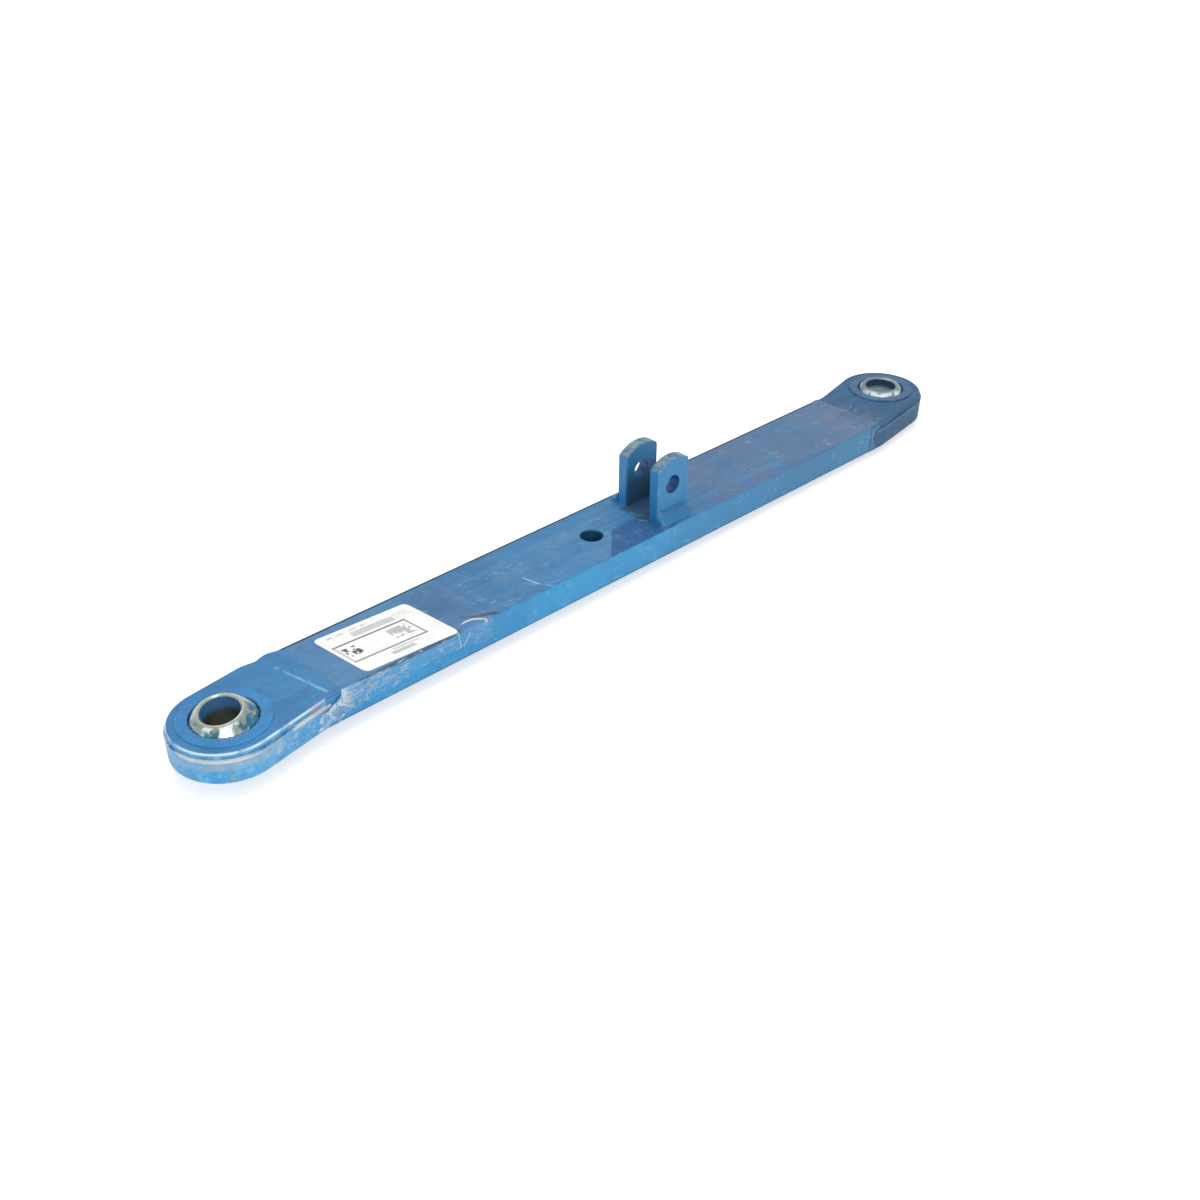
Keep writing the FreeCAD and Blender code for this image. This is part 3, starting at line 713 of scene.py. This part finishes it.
def ball_material(name, centre, lean, tint, face, face_radius, paint_share, flank_blue, white_share, bore):
    """Zinc-plated turned steel, smeared with paint on its flank and inside its bore, with painted reflection,
    light and shade on its flank, face and bore.
    """
    g = Graph(name)
    axis = Vector((-math.sin(math.radians(lean[0])), -math.sin(math.radians(lean[1])), 1)).normalized()
    turn = Vector((0, 0, 1)).rotation_difference(axis).to_euler()
    local = g.local((centre[0] * MM, centre[1] * MM, rest_height), turn=tuple(turn))
    x, y, z = g.split(local)[0:3]
    radius = g.math("SQRT", g.math("ADD", g.times(x, x), g.times(y, y)))
    grooves = g.math("SINE", g.times(radius, 9.0))
    flank_rings = g.math("SINE", g.times(z, 10.0))
    smears = g.noise(10.0, 4.0, 0.6, vector=g.local((0, 0, 0), stretch=(1, 1, 2)))
    stains = g.noise(5.0, 5.0, 0.7)
    metal_tint = g.mix(g.times(g.ramp(stains, 0.4, 0.65), 0.6), tint, plating_shade)
    clouds = g.noise(9.0, 2.0, 0.5, vector=g.local((70 * MM, 0, 0)))
    away_side = g.ramp(g.math("ADD", g.times(x, 0.7), g.times(y, 0.7)), -6.0, 16.0, 0.35, 1.0)
    bluish = g.times(g.ramp(radius, 17.0, 21.0), g.ramp(clouds, 0.44, 0.54), flank_blue)
    metal_tint = g.mix(bluish, metal_tint, flank_tint_and_shade)
    # painted shade: the flank's front side is tinted blue-grey
    metal_tint = g.mix(g.times(g.math("SUBTRACT", 1.0, away_side), 0.5), metal_tint, flank_tint_and_shade)
    toward_front = g.math("ADD", g.times(x, -0.7), g.times(y, -0.7))
    toward_right = g.math("SUBTRACT", g.times(x, 0.7), g.times(y, 0.7))
    # painted reflection: a white gleam on the front of the flank, made less metallic
    gleam = g.ramp(g.noise(8.0, 2.0, 0.5, vector=g.local((0, 20 * MM, 0))), 0.66 - 0.30 * white_share,
                   0.74 - 0.30 * white_share)
    gleam = g.times(gleam, g.ramp(toward_front, 6.0, 15.0), g.ramp(radius, face_radius, face_radius + 1.5))
    metal_tint = g.mix(gleam, metal_tint, flank_white)
    # painted light: the flat face keeps the face tint on its left and the bright plating on its right
    on_face = g.times(g.ramp(radius, face_radius + 0.5, face_radius - 0.1), g.ramp(toward_right, 13.0, 2.0))
    metal_tint = g.mix(g.times(on_face, 0.75), metal_tint, face)
    in_bore = g.ramp(radius, ball_bore_radius + 0.5, ball_bore_radius + 0.1)
    on_flank = g.ramp(radius, 18.5, 21.0)
    paint = g.times(on_flank, g.ramp(smears, 0.62 - 0.14 * paint_share, 0.72 - 0.14 * paint_share))
    paint = g.math("MAXIMUM", paint, g.times(in_bore, 0.92))
    # the bore is coloured in two bands by height: on the far ball the dark band is painted shade and the teal band
    # painted light; on the near ball it is blue at the top and dark olive lower down
    bore_high, bore_low, band_low, band_high = bore
    bore_coat = g.mix(g.inside(z, band_low, band_high - 3.0, 6.0), bore_high, bore_low)
    coat = g.mix(in_bore, g.mix(g.ramp(stains, 0.45, 0.6), smear_teal, ring_blue), bore_coat)
    shade = g.mix(paint, metal_tint, coat)
    metallic = g.math("SUBTRACT", 1.0, g.math("MAXIMUM", paint, g.times(gleam, 0.6)))
    fine = g.noise(1.2, 3.0, 0.6)
    height = g.math("ADD", g.times(grooves, 0.10), g.math("ADD", g.times(flank_rings, 0.06), g.times(fine, 0.5)))
    height = g.math("ADD", height, g.times(paint, 0.8))
    bumps = g.add("Bump", {"Height": height, "Strength": 0.25, "Distance": 0.0004}).outputs[0]
    rough = g.math("ADD", g.ramp(fine, 0.3, 0.7, 0.16, 0.28), g.times(paint, 0.12))
    return g.finish(Base_Color=shade, Metallic=metallic, Roughness=rough, Normal=bumps)


def label_material():
    """White paper with a plain ruled box and blank bars printed in grey."""
    g = Graph("label_print")
    centre = (label_centre[0] * MM, label_centre[1] * MM, 0)
    skew = label_along[0] * label_across[1] - label_along[1] * label_across[0]
    flat = g.local(centre)
    x = g.dot(flat, (label_across[1] / skew, -label_across[0] / skew, 0))
    y = g.dot(flat, (-label_along[1] / skew, label_along[0] / skew, 0))
    smudge = g.noise(1.6, 4.0, 0.7)
    print_mask = 0.0
    for u0, u1, v0, v1, ink in label_bars:
        bar = g.times(g.inside(x, u0, u1, 0.35), g.inside(y, v0, v1, 0.35), ink)
        print_mask = g.math("MAXIMUM", print_mask, bar)
    for u0, u1, v0, v1, size, ink in label_blocks:
        broken = g.ramp(g.noise(size, 2.0, 0.5, vector=g.local(centre, stretch=(1.0, 1.5, 1))), 0.43, 0.50)
        block = g.times(g.inside(x, u0, u1, 0.3), g.inside(y, v0, v1, 0.3), broken, ink)
        print_mask = g.math("MAXIMUM", print_mask, block)
    print_mask = g.times(print_mask, g.ramp(smudge, 0.15, 0.55, 0.7, 1.0))
    fibre = g.noise(0.7, 4.0, 0.7)
    paper = g.mix(g.ramp(g.noise(14.0, 4.0, 0.6), 0.35, 0.7), label_white, label_cream)
    paper = g.mix(g.times(g.ramp(fibre, 0.5, 0.8), 0.25), paper, label_fibre)
    stained = g.times(g.ramp(g.noise(9.0, 4.0, 0.65, vector=g.local((60 * MM, 0, 0))), 0.62, 0.75), 0.4)
    paper = g.mix(stained, paper, label_stain)
    glue = g.times(g.inside(x, 24.0, 34.0, 3.0), g.inside(y, 17.0, 23.0, 2.0), g.ramp(smudge, 0.35, 0.6))
    paper = g.mix(g.times(glue, 0.5), paper, label_yellow)
    shade = g.mix(print_mask, paper, label_ink)
    bumps = g.add("Bump", {"Height": fibre, "Strength": 0.2, "Distance": 0.0003}).outputs[0]
    return g.finish(Base_Color=shade, Roughness=g.ramp(fibre, 0.3, 0.7, 0.45, 0.6), Normal=bumps)


def side_line(g, start, stop):
    """Soft line between two points (x, z) on the bar's front side."""
    middle = ((start[0] + stop[0]) / 2 * MM, 0, rest_height + (start[1] + stop[1]) / 2 * MM)
    angle = -math.atan2(stop[1] - start[1], stop[0] - start[0])
    half = math.hypot(stop[0] - start[0], stop[1] - start[1]) / 2
    place = g.split(g.local(middle, turn=(0, angle, 0)))
    return g.times(g.inside(place[0], -half, half, 1.0), g.inside(place[2], -0.3, 0.3, 0.5))


def tape_material():
    """Thin clear film: nearly invisible where it lies flat, milky white along creases and edges."""
    g = Graph("tape_film")
    x, y, z = g.split(g.local((0, 0, rest_height)))[0:3]
    side = g.ramp(y, -35.5, -37.2)
    near_corner = g.times(g.ramp(x, -292.0, -304.0), side)
    far_end = g.times(g.ramp(x, -184.0, -168.0), g.ramp(y, -22.0, -34.0))
    ridges = g.math("ABSOLUTE", g.math("SUBTRACT", g.noise(9.0, 3.0, 0.6, distortion=0.6), 0.5))
    fine_ridges = g.math("ABSOLUTE", g.math("SUBTRACT", g.noise(4.0, 3.0, 0.6, distortion=1.0), 0.5))
    lines = g.math("MAXIMUM", g.ramp(ridges, 0.020, 0.004), g.times(g.ramp(fine_ridges, 0.03, 0.006), 0.7))
    long_ridges = g.noise(6.0, 3.0, 0.6, vector=g.local((0, 0, 0), stretch=(4.5, 1, 1)), distortion=0.5)
    streaks = g.ramp(g.math("ABSOLUTE", g.math("SUBTRACT", long_ridges, 0.5)), 0.035, 0.008)
    patches = g.ramp(g.noise(13.0, 3.0, 0.6, vector=g.local((50 * MM, 0, 0))), 0.48, 0.60)
    broad_ridges = g.math("ABSOLUTE", g.math("SUBTRACT", g.noise(11.0, 2.0, 0.5, distortion=0.6), 0.5))
    near_fill = g.times(near_corner, g.ramp(broad_ridges, 0.10, 0.02, 0.12, 1.0))
    along_edge = g.times(g.inside(z, 2.0, 12.0, 3.0), side, g.ramp(x, -235.0, -300.0, 0.1, 0.9))
    wrinkle = g.split(g.local((-177 * MM, -33.0 * MM, 0), turn=(0, 0, math.radians(-26.0))))
    curl = g.math("SUBTRACT", wrinkle[1], g.times(wrinkle[0], wrinkle[0], -0.035))
    curl_line = g.times(g.inside(curl, 1.7, 2.7, 0.6), g.inside(wrinkle[0], -9.0, 9.0, 3.0), g.ramp(z, 9.0, 12.0))
    crease_v = g.math("MAXIMUM", side_line(g, (-197.0, 13.0), (-194.8, -3.0)), side_line(g, (-185.7, 9.0), (-194.3, -3.0)))
    milky = g.times(g.math("MAXIMUM", streaks, g.times(lines, 0.3)), side, patches,
                    g.ramp(x, -188.0, -204.0, 0.15, 0.55))
    milky = g.math("MAXIMUM", milky, g.times(near_fill, 0.95))
    milky = g.math("MAXIMUM", milky, g.times(g.math("MAXIMUM", streaks, g.times(lines, 0.5)), along_edge))
    milky = g.math("MAXIMUM", milky, g.times(far_end, g.ramp(broad_ridges, 0.022, 0.004), 0.25))
    milky = g.math("MAXIMUM", milky, g.math("MAXIMUM", g.times(curl_line, 0.95), g.times(crease_v, side, 0.8)))
    alpha = g.math("ADD", 0.02, g.times(milky, 0.72))
    shade = g.mix(g.ramp(milky, 0.2, 0.8), film_clear, film_white)
    glare = g.math("MAXIMUM", curl_line, g.times(near_corner, g.ramp(broad_ridges, 0.045, 0.01)))
    shade = g.mix(g.times(glare, 0.8), shade, film_bright)
    bumps = g.add("Bump", {"Height": fine_ridges, "Strength": 0.3, "Distance": 0.0005}).outputs[0]
    rough = g.ramp(ridges, 0.0, 0.2, 0.30, 0.12)
    return g.finish(Base_Color=shade, Roughness=rough, Alpha=alpha, Normal=bumps)


def dress(node, material):
    """Gives a CAD node this material in each of its slots."""
    slots = nodes[node].data.materials
    if not slots:
        slots.append(material)
    for index in range(len(slots)):
        slots[index] = material


# Light levels
world_strength = 0.62
floor_glow = 0.5
top_power = 26.0
front_power = 20.0

# Colours, read from the photograph
# each part's top and side tones carry painted shade on the tops and painted light on the sides, as well as the
# paint's own colour
bar_top = colour(54, 122, 172)
bar_side = colour(46, 152, 208)
deep_top = colour(34, 94, 144)
deep_side = colour(36, 122, 182)
# pale flecks and turning marks, and the painted highlight along the near seam
pale_speck = colour(140, 190, 222)
bar_dust = colour(96, 138, 172)
far_dust = colour(92, 110, 140)
# darker blue of the patches by the label and in front of the lugs
dark_blue_patch = colour(20, 84, 136)
# painted shade between the lugs
between_lugs_shade = colour(30, 34, 50)
# pale tone of real scratches, also used for the painted highlight along the lugs' edges
scratch_and_highlight_pale = colour(160, 200, 224)
# painted shade along edges
dark_edge_shade = colour(22, 44, 66)
bare_metal = colour(206, 216, 222)
rust_brown = colour(58, 50, 50)
rust_pink = colour(128, 118, 136)
near_forging_top = colour(40, 124, 180)
near_forging_side = colour(64, 172, 230)
far_forging_top = colour(42, 86, 124)
far_forging_side = colour(22, 78, 118)
far_side = colour(54, 108, 142)
far_weld_top = colour(72, 104, 140)
far_ring_top = colour(48, 92, 130)
hole_shade = colour(14, 44, 70)
# painted shade inside the lugs' pin holes
hole_wall_shade = colour(6, 74, 130)
rim_dark = colour(64, 96, 112)
# painted highlight on the forgings' top edges
painted_rim_highlight = colour(214, 238, 250)
near_glint = colour(130, 200, 240)
low_grey = colour(110, 134, 152)
# blue-grey tone of the balls' flanks, also used as painted shade on their front side
flank_tint_and_shade = colour(84, 140, 164)
# painted light on the lugs' end faces
lug_flank = colour(30, 124, 184)
# painted shade and painted light in the far ball's bore
bore_shade_navy = colour(14, 46, 84)
bore_lit_teal = colour(186, 220, 220)
label_yellow = colour(214, 204, 150)
ring_blue = colour(40, 132, 196)
lug_top = colour(62, 124, 166)
lug_side = colour(40, 132, 184)
# grey of the painted highlight on the lugs' top edges
rim_highlight_grey = colour(150, 172, 172)
fillet_top = colour(44, 118, 162)
fillet_side = colour(38, 122, 172)
worn_steel = colour(158, 176, 192)
worn_brown = colour(136, 128, 146)
worn_grey = colour(178, 192, 202)
# painted shade in creases and grooves
crevice_shade = colour(34, 66, 96)
# painted shade on the lugs' inner faces
lug_inner_shade = colour(30, 26, 34)
near_weld_side = colour(80, 146, 190)
# painted reflection on the balls' flanks
flank_white = colour(244, 248, 248)
# face tints, painted on the left of each ball's flat face against the bright right, painted light and shade
far_face_tint = colour(128, 160, 168)
near_face_tint = colour(206, 208, 184)
near_plating = colour(220, 224, 206)
far_plating = colour(196, 212, 218)
plating_shade = colour(170, 184, 170)
smear_teal = colour(60, 140, 150)
bore_blue = colour(34, 112, 170)
bore_olive = colour(44, 48, 26)
label_white = colour(250, 250, 250)
label_cream = colour(243, 242, 240)
label_fibre = colour(228, 228, 228)
label_stain = colour(216, 204, 192)
label_ink = colour(70, 64, 68)
film_clear = colour(225, 238, 246)
film_white = colour(178, 216, 246)
film_bright = colour(240, 248, 255)

# Plain print on the label, in millimetres about its middle: two corners along and across, then ink
label_bars = (
    (-38.4, 25.6, 10.4, 11.8, 0.90),
    (-38.4, 25.6, -14.6, -13.2, 0.80),
    (24.2, 25.6, -14.6, 11.8, 0.72),
    (-38.4, -37.2, -14.6, 11.8, 0.50),
    (-16.0, 21.0, 15.0, 21.5, 0.38),
    (-12.0, 8.0, -23.5, -20.0, 0.45),
    (-8.0, 14.0, -18.4, -16.4, 0.30),
)
label_blocks = (
    (-35.5, -24.0, -6.5, 5.5, 3.6, 1.0),
    (4.0, 22.0, -7.5, 6.5, 4.5, 0.50),
    (-33.0, 3.0, 23.0, 26.0, 4.0, 0.30),
)

bpy.context.scene.view_settings.view_transform = "Standard"
make_camera()
make_world()
make_floor()
make_light("top_light", (0.4, 0.5, 2.4), 2.2, top_power)
make_light("front_light", (-1.3, -2.0, 1.3), 1.2, front_power)

near_patches = ((at(-322.0, -38.0, 9.0), (16, 7, 9), rust_pink),
                (at(-366.0, -47.0, 1.0), (18, 10, 9), worn_grey))
far_patches = ((at(308.0, -12.0, 13.0), (30, 34, 12), rust_pink),)
near_blue = forging_material("near_forging_enamel", near_forging_top, near_forging_side, 1.0, near_patches)
far_blue = forging_material("far_forging_enamel", far_forging_top, far_forging_side, 0.04, far_patches)
dress("main_bar", bar_material())
dress("near_end_forging", near_blue)
dress("far_end_forging", far_blue)
dress("near_race_ring", ring_material("near_ring_enamel", near_centre, ring_blue, near_forging_side, 24.3))
dress("far_race_ring", ring_material("far_ring_enamel", far_centre, far_ring_top, far_forging_side, 21.6))
lug_blue = lug_material()
for node in ("front_lug", "rear_lug"):
    dress(node, lug_blue)
near_bead_blue = weld_material("near_weld_enamel", near_forging_top, near_weld_side, 0.1)
far_bead_blue = weld_material("far_weld_enamel", far_weld_top, far_side, 1.0)
dress("near_weld_bottom", near_bead_blue)
dress("far_weld_bottom", far_bead_blue)
dress("near_ball", ball_material("near_ball_plate", near_centre, near_ball_lean, near_plating, near_face_tint,
                                 near_face_radius, 0.6, 1.0, 0.5, (bore_blue, bore_olive, -60.0, 11.0)))
dress("far_ball", ball_material("far_ball_plate", far_centre, (0.0, 0.0), far_plating, far_face_tint,
                                far_face_radius, 0.2, 0.5, 1.0, (bore_shade_navy, bore_lit_teal, -1.0, 8.0)))

for end, sign, enamel in (("near", -1, near_bead_blue), ("far", 1, far_bead_blue)):
    station = sign * bar_end
    bead = weld_bead(end + "_seam_bead", station, 5.8, half_width, half_thickness,
                     lambda x, a, b: at(x, a, b), 0.25, 2.6, sign * 2.0, 0.3)
    place_piece(bead, enamel, "weld_paint", end + "_weld_top")
    for place, side in (("front", -1), ("back", 1)):
        swollen = end == "near" and place == "back"
        centre = station - 5.5 if swollen else station + sign * 0.8
        half_span, crown = (8.5, 1.1) if swollen else (6.2, 0.4)
        bead = weld_bead(end + "_" + place + "_bead", centre, half_span, half_thickness, half_width + 0.3,
                         lambda x, a, b: at(x, side * b, a), crown, 2.6, sign * 3.0 + side, 0.5)
        place_piece(bead, enamel, "weld_paint", end + "_weld_" + place)

fillet_paint = weld_material("fillet_enamel", fillet_top, fillet_side, 0.0)
place_piece(fillet_bead("front_lug_bead", -1, 4.0), fillet_paint, "weld_paint", "front_lug_weld")
place_piece(fillet_bead("rear_lug_bead", 1, 6.0), fillet_paint, "weld_paint", "rear_lug_weld")
make_label(label_material())
make_tape(tape_material())
